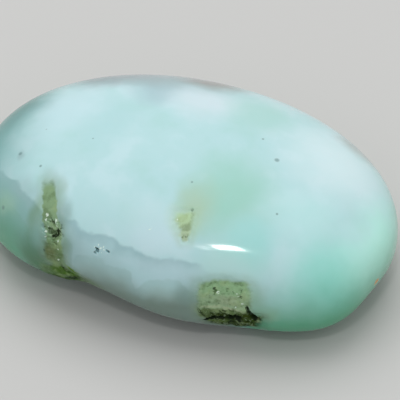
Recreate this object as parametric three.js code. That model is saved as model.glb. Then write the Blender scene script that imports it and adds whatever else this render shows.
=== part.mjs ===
// A freeform cabochon of chrysocolla in milky chalcedony: one polished stone with no setting.
// It is an oval, longer than wide, with a domed crown, no sharp girdle, and a rounded back that
// ends in a small lapped flat. The outline isn't regular, because the cutter followed the rough:
// one end is fuller at the front, and the front edge has a shallow waist beside a seam.
// Three pieces of the softer host rock reach the surface. The polish has sunk there, so each is
// a shallow hollow, and a few grains have come out of them and left pits.
//
// Millimetres, +X along the stone, +Z up. The origin is on the flat that the stone rests on,
// under the middle of its length and width.
import * as THREE from "three";
import { mergeVertices } from "three/addons/utils/BufferGeometryUtils.js";

// Driving dimensions of the blank
const LENGTH = 30;
const WIDTH = 20.5;
const CROWN_HEIGHT = 6.3; // above the widest level
const BACK_DEPTH = 3.9; // below the widest level, if it had no flat
const FLAT_DEPTH = 3.8; // where the flat is lapped, below the widest level
const OUTLINE_POWER = 2.05; // 2 gives an ellipse, more a fuller outline
const CROWN_POWER = 2.25; // 2 gives an ellipsoid's dome, more a flatter one with a fuller edge
const BACK_POWER = 2.7;
const TAPER = 0.03; // share by which the left end is broader, and the right end narrower

// Fineness of the mesh: squares along each edge of the cube that is blown up into the stone, and
// the longest edge wanted where the surface is sunk
const SQUARES = 20;
const HOLLOW_STEP = 0.36;
const PIT_STEP = 0.18;
const EDGE_OF_HOLLOW = 0.04; // how sunk, from 0 to 1, a point is before it counts
const HALVINGS = 4; // the times that an edge may be halved

const HALF_LENGTH = LENGTH / 2;
const HALF_WIDTH = WIDTH / 2;
const HALF_THICKNESS = (CROWN_HEIGHT + BACK_DEPTH) / 2;

// Where the outline leaves the regular oval. Each is a soft swelling, or with a rise below 0 a
// soft hollow, at a place measured from the middle of the blank at its widest level.
const CORNERS = [
  { name: "full front corner of the right end", place: [13.3, -7.2, -0.8], reach: 3.6, rise: 1.4 },
  { name: "facet worn under the right end", place: [14.1, -3.3, -2.0], reach: 1.6, rise: -0.4 },
  { name: "waist in the front edge", place: [-4.2, -9.5, -3.3], reach: 3.2, rise: -1.15 },
  { name: "lip between the waist and the seam", place: [-6.4, -7.3, -2.7], reach: 1.45, rise: 0.45 },
];

// Where the host rock reaches the surface. Each is a lump with soft corners: half its size along
// its own three directions, turned about the upright and then leaned to face upwards. The polish
// has sunk by the given depth.
const HOST_ROCK = [
  {
    name: "seam across the front left",
    place: [-6.9, -7.4, 1.9],
    half: [0.85, 2.9, 3.2],
    turn: 17,
    lean: 10,
    depth: 0.25,
  },
  {
    name: "foot of the seam",
    place: [-6.3, -8.4, -0.2],
    half: [1.5, 1.6, 0.9],
    turn: 5,
    lean: 0,
    depth: 0.15,
  },
  {
    name: "square patch on the front",
    place: [5.9, -9.2, 0.2],
    half: [2.1, 1.6, 2],
    turn: 15,
    lean: 0,
    depth: 0.22,
  },
  {
    name: "small wedge above the front edge",
    place: [2.3, -6.6, 4.9],
    half: [0.7, 1, 0.9],
    turn: 10,
    lean: 0,
    depth: 0.1,
  },
];
const CORNER_FULLNESS = 3; // 2 makes a lump's section an ellipse, more a rounder-cornered square

// Where grains have come out, measured as the corners are.
const PITS = [
  { name: "left of the pair by the seam", place: [-3.36, -8.98, 2.79], reach: 0.16, depth: 0.2 },
  { name: "right of the pair by the seam", place: [-2.56, -9.01, 2.96], reach: 0.2, depth: 0.25 },
  { name: "in the middle of the seam", place: [-6.7, -8.25, 2.6], reach: 0.25, depth: 0.3 },
  { name: "left in the crack under the patch", place: [4.8, -9.4, -0.9], reach: 0.3, depth: 0.3 },
  { name: "middle of the crack under the patch", place: [6.4, -9.2, -0.8], reach: 0.35, depth: 0.4 },
  { name: "right in the crack under the patch", place: [8, -8.9, -0.6], reach: 0.35, depth: 0.4 },
];

// How far a point is across the blank, at its level: 0 on the upright axis, 1 on the outline.
function shareAcross(direction) {
  const along = Math.abs(direction.x / HALF_LENGTH) ** OUTLINE_POWER;
  const across = Math.abs(direction.y / HALF_WIDTH) ** OUTLINE_POWER;
  return (along + across) ** (1 / OUTLINE_POWER);
}

// The point of the regular oval blank in a direction from its middle.
function blankPoint(direction) {
  const above = direction.z > 0;
  const power = above ? CROWN_POWER : BACK_POWER;
  const share = Math.abs(direction.z) / (above ? CROWN_HEIGHT : BACK_DEPTH);
  const size = (shareAcross(direction) ** power + share ** power) ** (1 / power);
  const point = direction.clone().divideScalar(size);
  point.y *= 1 - TAPER * (point.x / HALF_LENGTH);
  return point;
}

// The way the blank's surface faces at a point, near enough to push it in or out.
function outward(point) {
  return new THREE.Vector3(
    point.x / HALF_LENGTH ** 2,
    point.y / HALF_WIDTH ** 2,
    point.z / HALF_THICKNESS ** 2,
  ).normalize();
}

// A bell: 1 at the place, and nearly 0 at three times the reach from it.
function bell(point, { place, reach }) {
  return Math.exp(-point.distanceToSquared(new THREE.Vector3(...place)) / (2 * reach ** 2));
}

// How sunk a point is in a lump of host rock: 1 in the middle of the lump, 0 well outside it.
function sunk(point, { place, half, turn, lean }) {
  const upright = THREE.MathUtils.degToRad(turn);
  const upwards = THREE.MathUtils.degToRad(-lean);
  const turned = new THREE.Quaternion().setFromEuler(new THREE.Euler(0, upwards, upright, "ZYX"));
  const own = point.clone().sub(new THREE.Vector3(...place)).applyQuaternion(turned.invert());
  const shares = own.toArray().map((value, axis) => Math.abs(value / half[axis]));
  return Math.exp(-shares.reduce((sum, share) => sum + share ** CORNER_FULLNESS, 0));
}

// The stone's surface in a direction from the middle of the blank.
function surfacePoint(direction) {
  const blank = blankPoint(direction);
  const way = outward(blank);
  const push = CORNERS.reduce((sum, corner) => sum + corner.rise * bell(blank, corner), 0);
  const ground = blank.clone().addScaledVector(way, push);
  const hollow = Math.max(...HOST_ROCK.map((lump) => lump.depth * sunk(ground, lump)));
  const pit = Math.max(...PITS.map((grain) => grain.depth * bell(ground, grain)));
  const point = ground.clone().addScaledVector(way, -hollow - pit);
  point.z = Math.max(point.z, -FLAT_DEPTH);
  return point;
}

// The longest edge that shows the surface well at a point.
function longestEdge(point) {
  if (PITS.some((grain) => bell(point, grain) > EDGE_OF_HOLLOW)) {
    return PIT_STEP;
  }
  return HOST_ROCK.some((lump) => sunk(point, lump) > EDGE_OF_HOLLOW) ? HOLLOW_STEP : Infinity;
}

// A cube of squares, blown up into a ball and stretched to the blank's proportions. No point of
// the surface is a pole, and the squares are most crowded round the edge, where it curves most.
function ball() {
  const cube = new THREE.BoxGeometry(2, 2, 2, SQUARES, SQUARES, SQUARES);
  cube.deleteAttribute("normal");
  cube.deleteAttribute("uv");
  const merged = mergeVertices(cube, 1e-4);
  const position = merged.getAttribute("position");
  const even = (value) => Math.tan((value * Math.PI) / 4);
  const directions = [];
  for (let i = 0; i < position.count; i += 1) {
    const x = HALF_LENGTH * even(position.getX(i));
    const y = HALF_WIDTH * even(position.getY(i));
    const z = HALF_THICKNESS * even(position.getZ(i));
    directions.push(new THREE.Vector3(x, y, z).normalize());
  }
  const corners = [...merged.getIndex().array]; // two triangles to a square
  const squares = [];
  for (let i = 0; i < corners.length; i += 3) {
    squares.push(corners.slice(i, i + 3));
  }
  return { directions, squares };
}

// A triangle's three edges, each with the corner across from it.
const edgesOf = ([a, b, c]) => [
  [a, b, c],
  [b, c, a],
  [c, a, b],
];
const edgeName = (a, b) => `${Math.min(a, b)} ${Math.max(a, b)}`;

// Cuts a triangle at the middles of its edges that have one, the longest of them first.
function cut(triangle, directions, middles) {
  const length = ([a, b]) => directions[a].distanceTo(directions[b]);
  const halved = edgesOf(triangle).filter(([a, b]) => middles.has(edgeName(a, b)));
  if (halved.length === 0) {
    return [triangle];
  }
  const [a, b, c] = halved.reduce((longest, edge) => (length(edge) > length(longest) ? edge : longest));
  const middle = middles.get(edgeName(a, b));
  return [...cut([a, middle, c], directions, middles), ...cut([middle, b, c], directions, middles)];
}

// Halves the edges that are too long to show the hollows and pits.
function refine(directions, triangles) {
  const middles = new Map();
  for (const [a, b] of triangles.flatMap(edgesOf)) {
    const direction = directions[a].clone().add(directions[b]).normalize();
    const length = surfacePoint(directions[a]).distanceTo(surfacePoint(directions[b]));
    if (length > longestEdge(surfacePoint(direction)) && !middles.has(edgeName(a, b))) {
      middles.set(edgeName(a, b), directions.push(direction) - 1);
    }
  }
  return triangles.flatMap((triangle) => cut(triangle, directions, middles));
}

function stoneGeometry() {
  const { directions, squares } = ball();
  let triangles = squares;
  for (let round = 0; round < HALVINGS; round += 1) {
    triangles = refine(directions, triangles);
  }
  const geometry = new THREE.BufferGeometry();
  geometry.setFromPoints(directions.map(surfacePoint));
  geometry.setIndex(triangles.flat());
  return geometry;
}

// Sets the flat at the level 0, under the middle of the stone's box.
function setOnTheFlat(geometry) {
  geometry.computeBoundingBox();
  const middle = geometry.boundingBox.getCenter(new THREE.Vector3());
  geometry.translate(-middle.x, -middle.y, FLAT_DEPTH);
  geometry.computeVertexNormals();
}

const geometry = stoneGeometry();
setOnTheFlat(geometry);

const milkyAqua = new THREE.MeshStandardMaterial({ color: 0xb4dfdb, roughness: 0.12, metalness: 0 });

const stone = new THREE.Mesh(geometry, milkyAqua);
stone.name = "cabochon";

const cabochon = new THREE.Group();
cabochon.name = "chrysocolla_cabochon";
cabochon.add(stone);

export default cabochon;
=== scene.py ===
from math import atan, cos, radians, sin

import bpy
import numpy as np
from mathutils import Euler, Matrix, Vector, noise


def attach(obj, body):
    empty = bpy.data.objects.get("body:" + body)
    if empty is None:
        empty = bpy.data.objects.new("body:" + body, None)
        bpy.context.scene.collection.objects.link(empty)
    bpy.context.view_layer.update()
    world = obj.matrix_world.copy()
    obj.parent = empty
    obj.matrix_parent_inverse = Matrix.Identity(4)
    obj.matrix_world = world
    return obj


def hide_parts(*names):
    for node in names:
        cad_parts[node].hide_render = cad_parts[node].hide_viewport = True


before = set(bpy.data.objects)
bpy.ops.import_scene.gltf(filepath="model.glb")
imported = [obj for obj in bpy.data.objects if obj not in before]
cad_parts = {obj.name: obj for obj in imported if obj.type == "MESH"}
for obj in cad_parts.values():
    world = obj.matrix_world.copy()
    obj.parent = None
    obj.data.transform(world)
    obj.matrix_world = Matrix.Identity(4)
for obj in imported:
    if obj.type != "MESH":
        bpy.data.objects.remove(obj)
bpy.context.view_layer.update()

# The stone: milky chalcedony coloured by chrysocolla, one piece with no setting. The cutter
# ground it to a long oval that follows the rough, with a domed crown and a rounded back, lapped
# a small flat under it, and polished it all over.
PER_METRE = 1000  # the stone's sizes and places are in millimetres
LENGTH = 30
WIDTH = 20.5
CROWN = 6.3  # height above the widest level
BACK = 3.9  # depth below the widest level, if it had no flat
FLAT = 3.8  # where the flat is, below the widest level
OUTLINE_POWER = 2.05
CROWN_POWER = 2.25
BACK_POWER = 2.7
TAPER = 0.03  # share by which the left end is broader, and the right end narrower
SWELLS = [  # places from the middle of the blank's widest level, then reach and rise
    ("full front corner of the right end", (13.3, -7.2, -0.8), 3.6, 1.4),
    ("facet worn under the right end", (14.1, -3.3, -2.0), 1.6, -0.4),
    ("waist in the front edge", (-4.2, -9.5, -3.3), 3.2, -1.15),
    ("lip between the waist and the seam", (-6.4, -7.3, -2.7), 1.45, 0.45),
]


def length_of(vectors):
    return np.linalg.norm(vectors, axis=1, keepdims=True)


def blank(directions):
    """The regular oval, in each direction from the middle of its widest level."""
    along, across, up = np.abs(directions).T
    side = (along / LENGTH * 2) ** OUTLINE_POWER + (across / WIDTH * 2) ** OUTLINE_POWER
    above = directions[:, 2] > 0
    power = np.where(above, CROWN_POWER, BACK_POWER)
    level = up / np.where(above, CROWN, BACK)
    size = (side ** (power / OUTLINE_POWER) + level**power) ** (1 / power)
    points = directions / size[:, None]
    points[:, 1] *= 1 - TAPER * points[:, 0] / LENGTH * 2
    return points


def ground(directions):
    """Points of the stone as it was ground, standing on its flat, and the way each one faces."""
    points = blank(directions)
    faces = points / (np.array([LENGTH, WIDTH, CROWN + BACK]) / 2) ** 2
    faces /= length_of(faces)
    push = sum(
        rise * np.exp(-(length_of(points - place) ** 2) / 2 / reach**2)
        for _, place, reach, rise in SWELLS
    )
    return points + faces * push + (0, 0, FLAT), faces


# Lumps of the softer host rock come to the surface, and the polish has sunk there. Each lump is
# given by its place, half its size along its own three directions, how far it is turned about
# the upright, how far its first direction then rises, how deep it is sunk, how high its grains
# stand, how gradual its edge is, and its colour.
HOST_ROCK = [
    ("seam", (-7.2, -7.2, 5.95), (0.68, 2.7, 3.05), 17, 10, 0.14, 0.02, 0.3, (130, 160, 122)),
    ("broken stretch", (-7.0, -7.9, 6.4), (0.85, 1.4, 0.85), 17, 12, 0.2, 0.14, 0.5, (132, 164, 130)),
    ("lower stretch", (-6.8, -8.5, 4.9), (1.05, 1.5, 1.3), 17, 5, 0.15, 0.05, 0.7, (108, 136, 94)),
    ("brown in it", (-7.0, -8.6, 4.9), (0.55, 1.5, 0.85), 17, 5, 0.15, 0.05, 0.9, (104, 120, 80)),
    ("left of the foot", (-6.95, -8.5, 2.9), (1.3, 1.8, 1.0), 17, 0, 0.1, 0.05, 0.6, (106, 136, 98)),
    ("under the foot", (-5.8, -8.4, 2.2), (1.7, 2.2, 0.9), 12, 8, 0.1, 0.05, 0.6, (50, 84, 6)),
    ("foot of the seam", (-6.3, -8.8, 3.4), (1.0, 1.5, 0.85), 17, 0, 0.15, 0.05, 0.6, (78, 112, 46)),
    ("right of the foot", (-5.5, -9.0, 3.4), (1.1, 1.5, 0.6), 5, -22, 0.12, 0.04, 0.5, (72, 110, 26)),
    ("edge of the foot", (-5.2, -9.2, 4.05), (1.1, 1.5, 0.26), 5, -32, 0.06, 0.03, 0.9, (88, 126, 16)),
    ("band in the foot", (-5.85, -8.95, 3.85), (0.85, 1.5, 0.3), 5, -40, 0.12, 0.03, 0.9, (26, 60, 6)),
    ("dark base of the foot", (-5.3, -8.9, 3.0), (1.1, 1.5, 0.34), 5, 27, 0.06, 0.03, 0.9, (14, 42, 0)),
    ("square patch", (5.66, -9.3, 4.5), (2.08, 1.6, 1.85), 15, 0, 0.18, 0.07, 0.3, (146, 176, 138)),
    ("top of the patch", (5.66, -9.0, 5.6), (2.05, 1.6, 0.66), 15, 2, 0.18, 0.06, 0.5, (144, 182, 138)),
    ("grey in the patch", (5.95, -9.3, 4.6), (0.95, 1.6, 0.45), 15, 0, 0.16, 0.05, 0.8, (150, 172, 138)),
    ("below the vein", (5.65, -9.3, 3.4), (1.9, 1.6, 0.62), 15, 0, 0.2, 0.08, 0.3, (98, 120, 78)),
    ("under the patch", (6.3, -9.2, 2.6), (2.1, 1.6, 1.0), 15, -4, 0.25, 0.12, 0.4, (38, 56, 0)),
    ("left of the vein", (4.75, -9.5, 4.12), (0.95, 1.6, 0.15), 15, 8, 0.1, 0.06, 0.7, (164, 184, 146)),
    ("right of the vein", (6.2, -9.3, 4.0), (0.95, 1.6, 0.15), 15, -12, 0.1, 0.06, 0.7, (164, 182, 146)),
    ("lobe under the crack", (5.1, -9.3, 2.5), (0.8, 1.6, 0.28), 15, 0, 0.15, 0.08, 0.5, (88, 110, 56)),
    ("right of the crack", (7.75, -8.9, 3.0), (0.85, 1.6, 0.9), 15, -10, 0.2, 0.08, 0.8, (50, 72, 8)),
    ("brown beside the crack", (7.15, -9.0, 3.2), (0.5, 1.6, 0.65), 15, 10, 0.2, 0.08, 0.6, (48, 64, 0)),
    ("wedge", (2.0, -6.6, 8.85), (1.0, 0.6, 0.7), 10, 0, 0.06, 0.03, 0.7, (178, 208, 166)),
    ("in the wedge", (2.16, -7.0, 8.6), (0.78, 0.55, 0.7), 10, 0, 0.06, 0.03, 0.7, (176, 204, 162)),
    ("low in the wedge", (2.34, -7.4, 8.4), (0.56, 0.5, 0.7), 10, 0, 0.06, 0.03, 0.7, (174, 198, 162)),
    ("tip of the wedge", (2.44, -7.75, 8.2), (0.34, 0.4, 0.6), 10, 0, 0.06, 0.03, 0.7, (168, 190, 160)),
]
# Holes where grains have come out of the rock or the stone, and the cracks under the square
# patch, given in the same way up to how deep they are. Their dark colour is painted shade.
HOLES = [
    ("forked hole in the seam", (-7.0, -7.8, 6.95), (0.09, 0.5, 0.16), 15, 40, 0.2),
    ("fork", (-6.9, -7.8, 6.85), (0.06, 0.5, 0.18), 15, -20, 0.15),
    ("upper hole in the seam", (-6.5, -8.1, 6.6), (0.15, 0.5, 0.13), 15, 0, 0.3),
    ("lower hole in the seam", (-6.8, -8.3, 6.15), (0.34, 0.5, 0.07), 15, 32, 0.3),
    ("right end of it", (-6.55, -8.25, 6.35), (0.1, 0.5, 0.2), 15, -15, 0.3),
    ("small hole under it", (-6.6, -8.3, 5.6), (0.1, 0.5, 0.08), 15, 0, 0.15),
    ("small hole at the left", (-7.5, -8.4, 4.9), (0.11, 0.5, 0.09), 15, 30, 0.15),
    ("left of the pair", (-3.38, -9.05, 6.54), (0.14, 0.4, 0.13), 0, 0, 0.32),
    ("under the left of the pair", (-3.52, -9.1, 6.34), (0.12, 0.4, 0.07), 0, -20, 0.16),
    ("right of the pair", (-2.62, -9.05, 6.68), (0.13, 0.4, 0.06), 0, -15, 0.25),
    ("hole beside the wedge", (2.33, -6.02, 9.05), (0.09, 0.11, 0.3), 0, 0, 0.1),
    ("speck in the wedge", (2.55, -7.7, 8.2), (0.05, 0.1, 0.3), 10, 0, 0.06),
    ("speck at its tip", (2.3, -7.8, 8.2), (0.05, 0.1, 0.3), 10, 0, 0.06),
    ("hole in the patch", (5.1, -9.4, 5.45), (0.08, 0.4, 0.14), 15, -20, 0.25),
    ("under it", (5.03, -9.4, 5.2), (0.06, 0.4, 0.06), 15, 0, 0.12),
    ("hole at the patch's right", (6.75, -9.0, 5.05), (0.13, 0.4, 0.05), 15, -30, 0.15),
    ("hole above it", (6.8, -9.0, 5.5), (0.04, 0.4, 0.1), 15, -10, 0.12),
    ("hole left of that", (6.3, -9.1, 5.38), (0.05, 0.4, 0.08), 15, 10, 0.1),
    ("speck in the top", (5.85, -9.2, 5.5), (0.08, 0.4, 0.04), 15, 0, 0.1),
    ("hole low in the patch", (5.75, -9.3, 3.75), (0.16, 0.4, 0.1), 15, 0, 0.18),
    ("left side of the crack", (4.2, -9.6, 3.35), (0.05, 0.5, 0.62), 15, 30, 0.18),
    ("left end of the crack", (4.75, -9.5, 2.75), (0.5, 0.5, 0.13), 15, 22, 0.4),
    ("thin stretch of the crack", (5.5, -9.4, 3.0), (0.5, 0.5, 0.1), 15, -8, 0.4),
    ("wide stretch of the crack", (6.2, -9.3, 3.02), (0.5, 0.5, 0.26), 15, 26, 0.55),
    ("right end of the crack", (6.62, -9.2, 2.95), (0.32, 0.5, 0.34), 15, 5, 0.55),
    ("under the crack", (6.05, -9.1, 2.38), (0.26, 0.5, 0.08), 15, 22, 0.25),
    ("top of the side crack", (7.3, -9.1, 4.1), (0.13, 0.5, 0.2), 15, 20, 0.3),
    ("middle of the side crack", (7.45, -9.1, 3.68), (0.2, 0.5, 0.32), 15, 30, 0.3),
    ("foot of the side crack", (7.7, -9.0, 3.2), (0.3, 0.5, 0.3), 15, 30, 0.45),
    ("right of the side crack", (8.1, -8.9, 3.05), (0.22, 0.5, 0.09), 15, -28, 0.25),
    ("left of the side crack", (7.3, -9.1, 2.75), (0.1, 0.5, 0.07), 15, 10, 0.15),
]


def turned(turn, rise):
    return Euler((0, radians(-rise), radians(turn)))


def share(points, place, half, turn, rise):
    """How far each point is from the middle of a lump with round corners: 1 on its surface."""
    own = (points - place) @ np.array(turned(turn, rise).to_matrix()) / half
    return (own**4).sum(axis=1) ** 0.25


def soft(value, low, high):
    """0 where a value is below low, 1 where it is above high, and smooth in between."""
    part = np.clip((value - low) / (high - low), 0, 1)
    return part * part * (3 - 2 * part)


# The shares of a lump between which its sinking, its grains and a hole fade out
SINKING_ENDS = (0.6, 1.25)
GRAINS_END = (0.8, 1.1)
HOLE_ENDS = (0.4, 1.2)


def sunk_in_rock(points):
    """How deep each point is sunk, and how high the grains of the host rock stand there."""
    deep, rough = np.zeros((2, len(points)))
    for _, place, half, turn, rise, depth, grains, _, _ in HOST_ROCK:
        far = share(points, place, half, turn, rise)
        deep = np.maximum(deep, depth * (1 - soft(far, *SINKING_ENDS)))
        rough = np.maximum(rough, grains * (1 - soft(far, *GRAINS_END)))
    return deep, rough


def sunk_in_holes(points):
    deep = np.zeros(len(points))
    for _, place, half, turn, rise, depth in HOLES:
        far = share(points, place, half, turn, rise)
        deep = np.maximum(deep, depth * (1 - soft(far, *HOLE_ENDS)))
    return deep


GRAIN = 0.45  # size of the host rock's grains
FADING = 0.7  # how soon the finer layers of grains fade
FINER_BY = 2.1  # how much finer each layer is than the one before
LAYERS = 4


def grain_at(point):
    """The broken face of the host rock: about 0.6 on its grains and -0.6 between them."""
    return noise.fractal(Vector(point) / GRAIN, FADING, FINER_BY, LAYERS)


def directions_of(mesh):
    """The cube's points as directions from its middle, spread so that the squares are even."""
    corners = np.empty(len(mesh.vertices) * 3)
    mesh.vertices.foreach_get("co", corners)
    corners = np.tan(corners.reshape(-1, 3) * np.pi / 4)
    return corners / length_of(corners)


def on_its_flat(mesh):
    """Points of the ground stone for those of the cube, with the middle of its outline at 0."""
    points, faces = ground(directions_of(mesh))
    points[:, :2] -= (points.max(axis=0) + points.min(axis=0))[:2] / 2
    return points, faces


# A cube of squares is blown up into the ground stone. Its squares are cut finer at the rock
# and the holes, where the surface is then sunk and the rock's grains stand up.
SQUARES = 80  # along each edge of the cube
CUT_TO = 1.15  # share of a lump, with its margin, within which the squares are cut finer
CREVICE_SHADE_PER_MM = 8  # how much painted shade lies in the lows between grains, for each millimetre that the grains stand


def cut_finer(cube, lumps, margin, cuts):
    """Subdivides the squares of the cube that are on lumps, or within a margin of them."""
    points, _ = on_its_flat(cube.data)
    near = np.zeros(len(points), bool)
    for _, place, half, turn, rise, *_ in lumps:
        near |= share(points, place, np.add(half, margin), turn, rise) < CUT_TO
    chosen = [any(near[corner] for corner in face.vertices) for face in cube.data.polygons]
    bpy.ops.object.mode_set(mode="EDIT")
    bpy.ops.mesh.select_all(action="DESELECT")
    bpy.ops.object.mode_set(mode="OBJECT")
    cube.data.polygons.foreach_set("select", chosen)
    bpy.ops.object.mode_set(mode="EDIT")
    bpy.ops.mesh.subdivide(number_cuts=cuts)
    bpy.ops.object.mode_set(mode="OBJECT")


bpy.ops.object.select_all(action="DESELECT")
bpy.ops.mesh.primitive_cube_add(size=2)
stone = bpy.context.object
stone.name = "polished_stone"
bpy.ops.object.mode_set(mode="EDIT")
bpy.ops.mesh.select_mode(type="FACE")
bpy.ops.mesh.subdivide(number_cuts=SQUARES - 1)
bpy.ops.object.mode_set(mode="OBJECT")
cut_finer(stone, HOST_ROCK + HOLES, margin=0.05, cuts=3)
cut_finer(stone, HOLES, margin=0.03, cuts=1)

points, faces = on_its_flat(stone.data)
deep, rough = sunk_in_rock(points)
grains = np.array([grain_at(point) if part > 0 else 0 for point, part in zip(points, rough)])
points += faces * (rough * grains - deep - sunk_in_holes(points))[:, None]
points[:, 2] = np.maximum(points[:, 2], 0)
stone.data.vertices.foreach_set("co", (points / PER_METRE).ravel())
# how deep each point lies between the grains, kept for the painted shade in the crevices
crevice_shade_layer = stone.data.attributes.new("crevice_shade", "FLOAT", "POINT")
crevice_shade_layer.data.foreach_set("value", np.clip(-grains, 0, 1) * rough * CREVICE_SHADE_PER_MM)
stone.data.update()
bpy.ops.object.shade_smooth()


# The colours run all through the stone: milky aqua, whiter or greener in clouds. A cloud has
# its place, how far it reaches along X, Y and Z, its colour and its strength. A few clouds also
# hold painted light or shade, as noted at each.
MILKY_AQUA = (186, 222, 224)
WHITER = (204, 230, 235)
GREENER = (172, 216, 212)
CLOUD_ENDS = (0.15, 1.1)  # shares of its reach between which a cloud fades out
CLOUDS = [
    ("white, upper left", (-9.3, 1.0, 9.1), (3.7, 4, 4), (196, 226, 231), 0.8),
    ("aqua, left of the middle", (-5.4, -0.2, 9.7), (2.6, 3.6, 2), (181, 219, 221), 0.8),
    # partly painted: darker along the back rim where a dark reflection would lie
    ("grey and painted dark reflection, back left", (-7.9, 6.6, 7.8), (5.0, 3.6, 3.0), (132, 150, 154), 0.88),
    ("grey, back", (-3.5, 4.5, 9.3), (2.6, 2.8, 2.4), (164, 190, 199), 0.62),
    ("white, back of the crown", (-0.1, 4.2, 9.6), (3.6, 3, 3), (212, 228, 234), 0.8),
    ("aqua green, back right", (3.8, 4.2, 9.4), (3.2, 3.5, 3), (174, 216, 210), 0.8),
    ("white, right", (10.3, 2.3, 8.4), (5.5, 5, 4), (212, 234, 237), 0.9),
    ("mint", (4.4, -4.2, 9.3), (4, 5, 3), (162, 212, 198), 0.9),
    ("yellowish round the wedge", (2.3, -5.9, 9.2), (2.0, 3.2, 2), (176, 205, 182), 0.85),
    ("white, front of the crown", (-0.5, -6.8, 8.6), (3, 1.8, 1.6), (196, 226, 229), 0.7),
    ("aqua, right", (9.5, -3.8, 8.6), (4, 3, 3), (190, 230, 229), 0.7),
    ("green under the highlight", (6.2, -8, 7.2), (3, 2, 1.4), (178, 224, 218), 0.8),
    ("turquoise", (13.0, -6.6, 5.2), (5.8, 4.0, 3.8), (152, 228, 214), 0.92),
    # partly painted light: the right end made lighter where the lamps' light falls off
    ("green, right end, painted lighter", (14.8, -2.2, 5.2), (3.8, 6, 3.8), (196, 251, 238), 0.95),
    ("teal, left end", (-14.8, -1.6, 6.2), (6, 8, 5.5), (104, 161, 157), 0.9),
    # these two are partly painted: darker along the back rim where a dark reflection would lie
    ("teal and painted dark reflection, back of the left end", (-13.2, 2.6, 7.0), (3.2, 5.0, 3.6), (84, 140, 137), 0.92),
    ("grey and painted dark reflection along the back rim", (-4.2, 7.2, 8.1), (7.5, 3.3, 2.9), (154, 168, 173), 0.8),
    ("brown, back rim", (-0.4, 7.6, 8.2), (3.0, 2.2, 1.7), (146, 136, 128), 0.7),
    ("brown, right rim", (10.6, 5.4, 6.9), (3.2, 1.8, 1.7), (164, 168, 162), 0.6),
    ("green beside the highlight", (6.8, -6.8, 8.1), (2.4, 2.2, 1.8), (166, 222, 218), 0.8),
    ("white over the domes", (0.0, -8.3, 7.9), (2.8, 1.8, 1.6), (200, 226, 232), 0.7),
    ("smudge, left", (-11.0, -3.3, 8.05), (0.34, 0.7, 0.5), (146, 176, 178), 0.6),
]
# Where it isn't milky it is clear, in rounded domes that grew one over the other: along the
# front, at the left end, and at the back. A dome has its place and half its size. The domes of
# a group are one body with rings inside, whose colours are given from the skin to the middle.
FRONT_DOMES = [
    ("beside the seam", (-5.9, -8.4, 4.2), (1.15, 3, 3.4)),
    ("first", (-3.8, -9, 3.5), (2.2, 3.2, 3.85)),
    ("second", (-1.9, -9.3, 3.4), (2.2, 3.2, 3.95)),
    ("third", (1.7, -9.6, 3.2), (3.2, 3.2, 4.0)),
    ("fourth", (4.9, -9.4, 3.2), (2.6, 3.2, 3.4)),
]
LEFT_DOMES = [
    ("left flank", (-10.3, -7, 4), (3.3, 3.2, 3.5)),
    ("left end", (-13.4, -5.5, 4), (2.5, 3, 3)),
]
BACK_DOMES = [
    ("back left", (-9, 7, 3.6), (3.6, 3, 3)),
    ("middle of the back", (-3.5, 9, 3.2), (4, 3, 3.8)),
    ("back", (2.5, 9.5, 3), (3.6, 3, 3.4)),
    ("back right", (8, 8, 3), (4, 3, 4)),
    ("back of the right end", (12, 5, 2), (3.2, 3, 3)),
]
FRONT_GREYS = [(162, 198, 202), (182, 217, 221), (172, 208, 209), (172, 205, 202)]
TEALS = [(144, 184, 184), (138, 182, 178), (132, 178, 170), (124, 172, 158)]
# The shares of the domes between which a ring gives way to the next, and the domes end
CORE_TO_INNER = (0.25, 0.6)
INNER_TO_OUTER = (0.61, 0.66)
OUTER_TO_SKIN = (0.75, 0.98)
DOMES_END = (0.95, 1.01)
DOMES_MERGE = 0.25  # how softly one dome runs into the next
WANDER = 0.3  # how much the rings' shares wander
STAINS = [  # in the clear stone or beside the rock, as the clouds are given
    ("grey left of the seam", (-9.7, -6.0, 7.2), (1.8, 1.8, 1.3), (152, 184, 184), 0.5),
    ("grey right of the seam", (-6.8, -7.4, 7.4), (1.05, 1.4, 1.8), (140, 172, 168), 0.6),
    ("right edge of the seam", (-7.3, -6.4, 8.3), (0.78, 1.8, 1.7), (146, 180, 162), 0.55),
    ("left edge of the seam", (-8.45, -7.2, 6.4), (0.8, 1.8, 3.1), (112, 146, 104), 0.55),
    ("round the top of the seam", (-8.15, -5.8, 8.25), (1.2, 1.5, 1.3), (144, 176, 156), 0.45),
    ("grey under the first dome", (-5.1, -9.0, 6.1), (1.6, 1.6, 1.7), (118, 152, 150), 0.35),
    ("beside the seam", (-6.35, -8.6, 5.3), (1.5, 3, 3.2), (118, 152, 138), 0.85),
    ("left of the foot", (-8.3, -8.3, 3.8), (1.4, 3, 2.6), (62, 122, 82), 0.8),
    ("pale green, left", (-11.2, -6.8, 6.1), (1.5, 1.6, 0.9), (156, 196, 172), 0.6),
    ("under the foot", (-4.3, -9.3, 3.3), (1.8, 2, 0.8), (84, 116, 72), 0.85),
    ("grey in the second dome", (-3.2, -9.6, 5.2), (3.2, 1.8, 2.2), (134, 164, 162), 0.3),
    ("pale above the patch", (5.3, -8.8, 6.7), (2.9, 1.5, 1.1), (186, 223, 221), 0.85),
    ("left of the patch", (3.3, -9.6, 5.0), (1.4, 1.6, 1.7), (96, 126, 108), 0.5),
    ("right of the patch", (7.9, -8.8, 4.8), (0.9, 1.5, 2.0), (122, 152, 110), 0.3),
    ("pale beside the crack", (8.5, -8.8, 3.9), (1.1, 1.5, 1.0), (136, 180, 150), 0.65),
    ("pale along the third dome", (1.2, -9.3, 6.6), (3.6, 1.4, 0.9), (192, 220, 226), 0.55),
]
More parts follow.
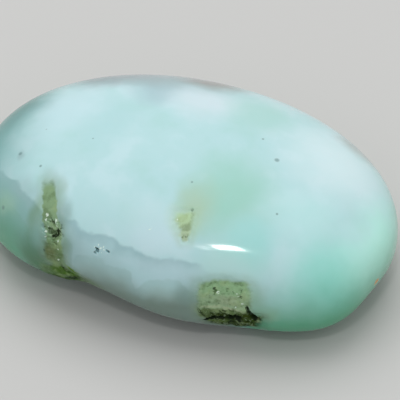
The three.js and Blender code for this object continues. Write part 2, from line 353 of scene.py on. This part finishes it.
# Near the foot the stone is darker, partly its own deeper colour where it is clearest and partly
# painted shade from below: olive in front, where it lies over host rock, and deep green
# elsewhere. Each fades out between two heights.
FRONT = ((-1, -10, 3), (8.5, 4, 5))  # the place of that front part, and half its size
FRONT_ENDS = (0.8, 1.1)
OLIVE_GREY_AND_SHADE = (103, 124, 110)
OLIVE_SHADE_HEIGHTS = (3.4, 5.8)
OLIVE_SHADE_STRENGTH = 0.85
DEEP_GREEN_AND_SHADE = (76, 162, 122)
GREEN_SHADE_HEIGHTS = (2.2, 7)
GREEN_SHADE_STRENGTH = 0.95
# The host rock stains the stone round it, and is mottled, with pale and dark grains.
HALO = 0.35  # how far the stain reaches
HALO_ENDS = (0.7, 1.15)
HALO_STRENGTH = 0.15
ROCK_END = 1.06  # share of a lump at which its colour ends
PALE_MOTTLE = (154, 178, 128)
DARK_MOTTLE = (72, 98, 52)
MOTTLE_STRENGTH = 0.4
PALE_GRAIN = (176, 200, 170)
DARK_GRAIN = (42, 64, 24)
GRAIN_STRENGTH = 0.5
GRAINS_SHOWN = 5  # how much of them shows, for each millimetre that the grains stand
# Painted shade in the lows between the rock's grains
CREVICE_SHADE_COLOUR = (34, 56, 16)
CREVICE_SHADE_STRENGTH = 0.8
# Painted shade in the holes and cracks, darker the deeper they are
HOLE_SHADE_COLOUR = (14, 30, 6)
HOLE_SHADE_ENDS = (0.7, 1.1)
SHALLOW_HOLE_SHADE = 0.3  # how much painted shade a hole of no depth has
DEEPER_HOLE_SHADE = 2  # how much more painted shade it has for each millimetre of depth
# Pale quartz, its white partly a painted glint
QUARTZ_GLINT_WHITE = (224, 242, 228)
QUARTZ_GLINT_ENDS = (0.5, 1.1)
QUARTZ_GLINT_STRENGTH = 0.85
QUARTZ_GLINT_DEPTH = 0.6  # how far in and out from its place a grain still shows
# Places of single grains of quartz, and how big they are. Their white is partly their own pale colour
# and partly a painted glint where they would catch the light.
QUARTZ_GRAINS_WITH_GLINTS = [
    ((-7.5, -7.4, 7.1), 0.1),
    ((-7.55, -7.6, 6.85), 0.1),
    ((-6.7, -7.8, 7.0), 0.1),
    ((-6.65, -7.8, 6.8), 0.1),
    ((-7.5, -8.2, 6.2), 0.1),
    ((-7.45, -8.2, 5.95), 0.08),
    ((-6.45, -8.4, 5.95), 0.09),
    ((-6.45, -8.5, 5.45), 0.06),
    ((-7.3, -8.2, 6.55), 0.06),
    ((-6.3, -8.8, 4.6), 0.11),
    ((-3.3, -8.95, 6.78), 0.07),
    ((-3.1, -8.95, 6.68), 0.08),
    ((-2.95, -8.95, 6.8), 0.06),
    ((-2.85, -8.95, 6.66), 0.07),
    ((-3.0, -9.05, 6.42), 0.05),
    ((-3.55, -9.05, 6.65), 0.05),
    ((5.25, -9.4, 5.2), 0.06),
    ((5.3, -9.4, 5.08), 0.05),
    ((6.5, -9.1, 5.2), 0.05),
    ((6.62, -9.1, 4.98), 0.05),
    ((6.9, -9.1, 4.5), 0.07),
    ((6.5, -9.1, 4.2), 0.05),
    ((1.55, -6.95, 8.8), 0.06),
    ((-0.05, -7.78, 8.3), 0.07),
]
# Places of single dark specks, and how big they are.
SPECKS = [
    ((-9.13, -4.46, 8.45), 0.12),
    ((-11.05, -3.3, 8.05), 0.16),
    ((-9.9, -1.2, 8.9), 0.09),
    ((-11.2, -6.72, 5.96), 0.2),
    ((6.46, -0.08, 9.65), 0.2),
    ((4.96, 1.52, 9.79), 0.1),
    ((7.83, -4.42, 8.88), 0.1),
    ((1.67, -4.06, 9.72), 0.09),
    ((-6.2, -1.9, 9.62), 0.07),
]
SPECK_COLOUR = (96, 128, 126)
SPECK_ENDS = (0.4, 1.2)
SPECK_STRENGTH = 0.6
RUST = (205, 150, 70)
RUST_SPOT = ((14.67, -3.43, 3.64), (0.5, 0.5, 0.35))  # its place, and how far it reaches


class Wire:
    """A node's output. Sums of wires and numbers add Math nodes."""

    def __init__(self, tree, socket=None):
        self.tree = tree
        self.socket = socket

    def node(self, kind, settings, values, output=0):
        made = self.tree.nodes.new("ShaderNode" + kind)
        for name, setting in settings.items():
            setattr(made, name, setting)
        for name, value in values.items():
            if isinstance(value, Wire):
                self.tree.links.new(value.socket, made.inputs[name])
            else:
                made.inputs[name].default_value = value
        return Wire(self.tree, made.outputs[output])

    def math(self, operation, *others):
        return self.node("Math", {"operation": operation}, dict(enumerate((self, *others))))

    def vector(self, operation, *others, output=0):
        values = dict(enumerate((self, *others)))
        return self.node("VectorMath", {"operation": operation}, values, output)

    def __add__(self, other):
        return self.math("ADD", other)

    def __sub__(self, other):
        return self.math("SUBTRACT", other)

    def __rsub__(self, other):
        return self.node("Math", {"operation": "SUBTRACT"}, {0: other, 1: self})

    def __mul__(self, other):
        return self.math("MULTIPLY", other)

    __radd__ = __add__
    __rmul__ = __mul__

    def above(self, low, high):
        """0 below low, 1 above high, and smooth in between."""
        values = {"Value": self, "From Min": low, "From Max": high}
        return self.node("MapRange", {"interpolation_type": "SMOOTHSTEP"}, values)

    def below(self, low, high):
        return 1 - self.above(low, high)

    def of(self, over, under):
        """This much, from 0 to 1, of one colour laid over another."""
        return self.node("Mix", {"data_type": "RGBA"}, {0: self, 6: under, 7: over}, output=2)

    def noise(self, size, detail=2.0, output="Fac"):
        values = {"Vector": self, "Scale": 1 / size, "Detail": detail}
        return self.node("TexNoise", {}, values, output)

    def times(self, number):
        """A vector made a number of times as long."""
        return self.node("VectorMath", {"operation": "SCALE"}, {0: self, "Scale": number})

    def shaken(self, size, way):
        """These places, each moved up to about a way, so that edges drawn on them are uneven."""
        centred = self.noise(size, output="Color").vector("SUBTRACT", (0.5, 0.5, 0.5))
        return self.vector("ADD", centred.times(2 * way))

    def seen_from(self, place, size, turn=0, rise=0):
        """These places as measured from one place, with a size of its own along each direction."""
        values = {"Vector": self, "Location": place, "Rotation": turned(turn, rise), "Scale": size}
        return self.node("Mapping", {"vector_type": "TEXTURE"}, values)

    def share(self, place, half, turn=0, rise=0):
        """How far these places are from the middle of a lump with round corners, as above."""
        own = self.seen_from(place, half, turn, rise)
        return own.vector("MULTIPLY", own).vector("LENGTH", output=1).math("SQRT")

    def far(self, place, reach):
        """How far these places are from the middle of a cloud, where 1 is its outer end."""
        return self.seen_from(place, reach).vector("LENGTH", output=1)


def tint(colour):
    """A colour as the eye sees it, from 0 to 255, in the linear values that a shader takes."""
    return (*[((part / 255 + 0.055) / 1.055) ** 2.4 for part in colour], 1)


def joined(wires, operation, *rest):
    """Many wires brought down to one by a Math node's operation."""
    whole = wires[0]
    for wire in wires[1:]:
        whole = whole.math(operation, wire, *rest)
    return whole


def clouded(colour, places, clouds):
    """A colour with clouds laid over it, each full in its middle and gone at its outer end."""
    for _, middle, reach, shade, strength in clouds:
        amount = places.far(middle, reach).below(*CLOUD_ENDS) * strength
        colour = amount.of(tint(shade), colour)
    return colour


def with_domes(colour, places, wander, domes, shades):
    """A colour with a group of clear domes laid over it, whose rings wander a little."""
    skin, outer, inner, core = [tint(shade) for shade in shades]
    shares = [places.share(middle, half) for _, middle, half in domes]
    far = joined(shares, "SMOOTH_MIN", DOMES_MERGE)
    ring = far + wander
    rings = ring.above(*CORE_TO_INNER).of(inner, core)
    rings = ring.above(*INNER_TO_OUTER).of(outer, rings)
    rings = ring.above(*OUTER_TO_SKIN).of(skin, rings)
    return far.below(*DOMES_END).of(rings, colour)


def stone_material():
    """Clear polished stone and dull host rock, mixed by where the rock is bare."""
    material = bpy.data.materials.new("polished_chrysocolla")
    material.use_nodes = True
    tree = material.node_tree
    finish = tree.nodes["Principled BSDF"]
    start = Wire(tree)
    place = start.node("TexCoord", {}, {}, "Object").times(PER_METRE)

    # places moved about, far for soft clouds and less for sharper edges
    drifting = place.shaken(3.5, 0.9).shaken(1.2, 0.3)
    scalloped = place.shaken(1.6, 0.22).shaken(0.9, 0.2)
    wavy = place.shaken(1.6, 0.22).shaken(0.6, 0.08)
    ragged = wavy.shaken(0.4, 0.12)
    jagged = ragged.shaken(0.2, 0.1)

    # milky stone with clouds
    billows = place.noise(2.6, 3)
    colour = (billows.above(0.5, 0.68) * 0.5).of(tint(WHITER), tint(MILKY_AQUA))
    colour = (billows.below(0.32, 0.5) * 0.4).of(tint(GREENER), colour)
    colour = clouded(colour, drifting, CLOUDS)

    # clear stone in domes, and towards the foot its deeper colour with painted shade
    wander = place.noise(1.8, 2) * WANDER - WANDER / 2
    colour = with_domes(colour, scalloped, wander, FRONT_DOMES, FRONT_GREYS)
    colour = with_domes(colour, scalloped, wander, LEFT_DOMES, TEALS)
    colour = with_domes(colour, scalloped, wander, BACK_DOMES, TEALS)
    front = drifting.share(*FRONT).below(*FRONT_ENDS)
    height = drifting.node("SeparateXYZ", {}, {"Vector": drifting}, 2)
    # olive and deep green, each partly painted shade, growing towards the foot
    olive = front * height.below(*OLIVE_SHADE_HEIGHTS) * OLIVE_SHADE_STRENGTH
    colour = olive.of(tint(OLIVE_GREY_AND_SHADE), colour)
    green = (1 - front) * height.below(*GREEN_SHADE_HEIGHTS) * GREEN_SHADE_STRENGTH
    colour = green.of(tint(DEEP_GREEN_AND_SHADE), colour)
    colour = clouded(colour, drifting, STAINS)

    # host rock, and the stain that it leaves in the stone round it
    rock = colour
    insides = []
    broken = []
    for _, middle, half, turn, rise, _, grains, edge, shade in HOST_ROCK:
        wider = tuple(size + HALO for size in half)
        halo = wavy.share(middle, wider, turn, rise).below(*HALO_ENDS) * HALO_STRENGTH
        colour = halo.of(tint(shade), colour)
        inside = ragged.share(middle, half, turn, rise).below(ROCK_END - edge, ROCK_END)
        rock = inside.of(tint(shade), rock)
        insides.append(inside)
        broken.append(inside * min(1, grains * GRAINS_SHOWN))
    host = joined(insides, "MAXIMUM")
    grainy = joined(broken, "MAXIMUM")

    # mottles and grains in the rock, and painted shade in the crevices between its grains
    mottles = place.noise(0.9, 5)
    fine = place.noise(0.2, 4)
    crevice_shade = start.node("Attribute", {"attribute_name": "crevice_shade"}, {}, "Fac")
    rock = (host * mottles.above(0.5, 0.62) * MOTTLE_STRENGTH).of(tint(PALE_MOTTLE), rock)
    rock = (host * mottles.below(0.36, 0.48) * MOTTLE_STRENGTH).of(tint(DARK_MOTTLE), rock)
    rock = (grainy * fine.above(0.54, 0.64) * GRAIN_STRENGTH).of(tint(PALE_GRAIN), rock)
    rock = (grainy * fine.below(0.34, 0.44) * GRAIN_STRENGTH).of(tint(DARK_GRAIN), rock)
    rock = (crevice_shade.above(0.15, 0.7) * CREVICE_SHADE_STRENGTH).of(tint(CREVICE_SHADE_COLOUR), rock)

    # holes darkened with painted shade, and loose grains of quartz whose white is partly a painted
    # glint, all as dull as the rock
    bare = [host]
    for _, middle, half, turn, rise, depth in HOLES:
        inside = jagged.share(middle, half, turn, rise).below(*HOLE_SHADE_ENDS)
        inside = inside * min(1, SHALLOW_HOLE_SHADE + DEEPER_HOLE_SHADE * depth)
        rock = inside.of(tint(HOLE_SHADE_COLOUR), rock)
        bare.append(inside)
    for middle, size in QUARTZ_GRAINS_WITH_GLINTS:
        inside = jagged.far(middle, (size, QUARTZ_GLINT_DEPTH, size)).below(*QUARTZ_GLINT_ENDS)
        rock = (inside * QUARTZ_GLINT_STRENGTH).of(tint(QUARTZ_GLINT_WHITE), rock)
        bare.append(inside)

    # specks and a spot of rust under the polish
    for middle, size in SPECKS:
        inside = place.far(middle, (size, size, size)).below(*SPECK_ENDS)
        colour = (inside * SPECK_STRENGTH).of(tint(SPECK_COLOUR), colour)
    colour = drifting.far(*RUST_SPOT).below(0.3, 1).of(tint(RUST), colour)

    tree.links.new(colour.socket, finish.inputs["Base Color"])
    finish.inputs["Roughness"].default_value = 0.09
    finish.inputs["IOR"].default_value = 1.54
    finish.inputs["Subsurface Weight"].default_value = 0.6
    finish.inputs["Subsurface Radius"].default_value = (0.8, 1, 1)
    finish.inputs["Subsurface Scale"].default_value = 0.0004
    dull = {"Base Color": rock, "Roughness": 0.3 + fine * 0.4, "Specular IOR Level": 0.12}
    rock_finish = start.node("BsdfPrincipled", {}, dull)
    finishes = {0: joined(bare, "MAXIMUM"), 1: Wire(tree, finish.outputs[0]), 2: rock_finish}
    mixed = start.node("MixShader", {}, finishes)
    tree.links.new(mixed.socket, tree.nodes["Material Output"].inputs["Surface"])
    return material


stone.data.materials.append(stone_material())
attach(stone, "root")
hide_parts("cabochon")

# The table is a sheet of plain pale paper, laid level under the stone. It belongs to the
# studio and not to the object.
bpy.ops.mesh.primitive_plane_add(size=2)
floor = bpy.context.object
floor.name = "floor"
paper = bpy.data.materials.new("pale_paper")
paper.use_nodes = True
paper_finish = paper.node_tree.nodes["Principled BSDF"]
paper_finish.inputs["Base Color"].default_value = tint((200, 200, 198))
paper_finish.inputs["Roughness"].default_value = 0.7
floor.data.materials.append(paper)

# The studio light is soft: an even room, a large softbox overhead, and two small panels that
# make the highlight and its dimmer left end. Their sizes and places are in metres.
world = bpy.data.worlds.new("studio")
bpy.context.scene.world = world
world.use_nodes = True
world.node_tree.nodes["Background"].inputs["Color"].default_value = (0.99, 0.99, 1, 1)
world.node_tree.nodes["Background"].inputs["Strength"].default_value = 0.62


def panel(name, place, along, width, height, radiance):
    """A flat light facing the stone, with its width along a direction."""
    light = bpy.data.lights.new(name, "AREA")
    light.shape = "RECTANGLE"
    light.size, light.size_y = width, height
    light.energy = radiance * width * height * np.pi
    holder = bpy.data.objects.new(name, light)
    bpy.context.collection.objects.link(holder)
    away = Vector(place).normalized()
    side = (Vector(along) - away * away.dot(along)).normalized()
    turn = Matrix((side, away.cross(side), away)).transposed().to_4x4()
    turn.translation = place
    holder.matrix_world = turn
    return holder


HIGHLIGHT_LIES_ALONG = (0.79, 0.57, 0.22)
overhead = panel(
    "overhead_softbox", (-0.1, 0.18, 0.5), (1, 0, 0), width=0.5, height=0.5, radiance=1.85
)
overhead.visible_glossy = False
bright_end = (0.047, -0.197, 0.357)
panel("highlight_panel", bright_end, HIGHLIGHT_LIES_ALONG, width=0.039, height=0.027, radiance=45)
dim_end = (0.014, -0.226, 0.344)
panel("its_dim_end", dim_end, HIGHLIGHT_LIES_ALONG, width=0.02, height=0.03, radiance=5)

# The camera stands where the photograph was taken from, to the right of the stone's front and
# 43 degrees above the table. Its angle of view fits the scale of the picture at the stone.
AZIMUTH = radians(18.18)
ELEVATION = radians(43)
DISTANCE = 0.26
PICTURE_PIXELS = 400  # along each side
PIXELS_PER_METRE = 14338.5  # at the stone
TARGET = Vector((0.00076, 0.00045, 0.0038))
back = Vector((sin(AZIMUTH) * cos(ELEVATION), -cos(AZIMUTH) * cos(ELEVATION), sin(ELEVATION)))
camera = bpy.data.objects.new("camera", bpy.data.cameras.new("camera"))
bpy.context.collection.objects.link(camera)
camera.location = TARGET + back * DISTANCE
camera.rotation_euler = (-back).to_track_quat("-Z", "Y").to_euler()
camera.data.angle = 2 * atan(PICTURE_PIXELS / 2 / PIXELS_PER_METRE / DISTANCE)
bpy.context.scene.camera = camera
bpy.context.scene.view_settings.view_transform = "Standard"
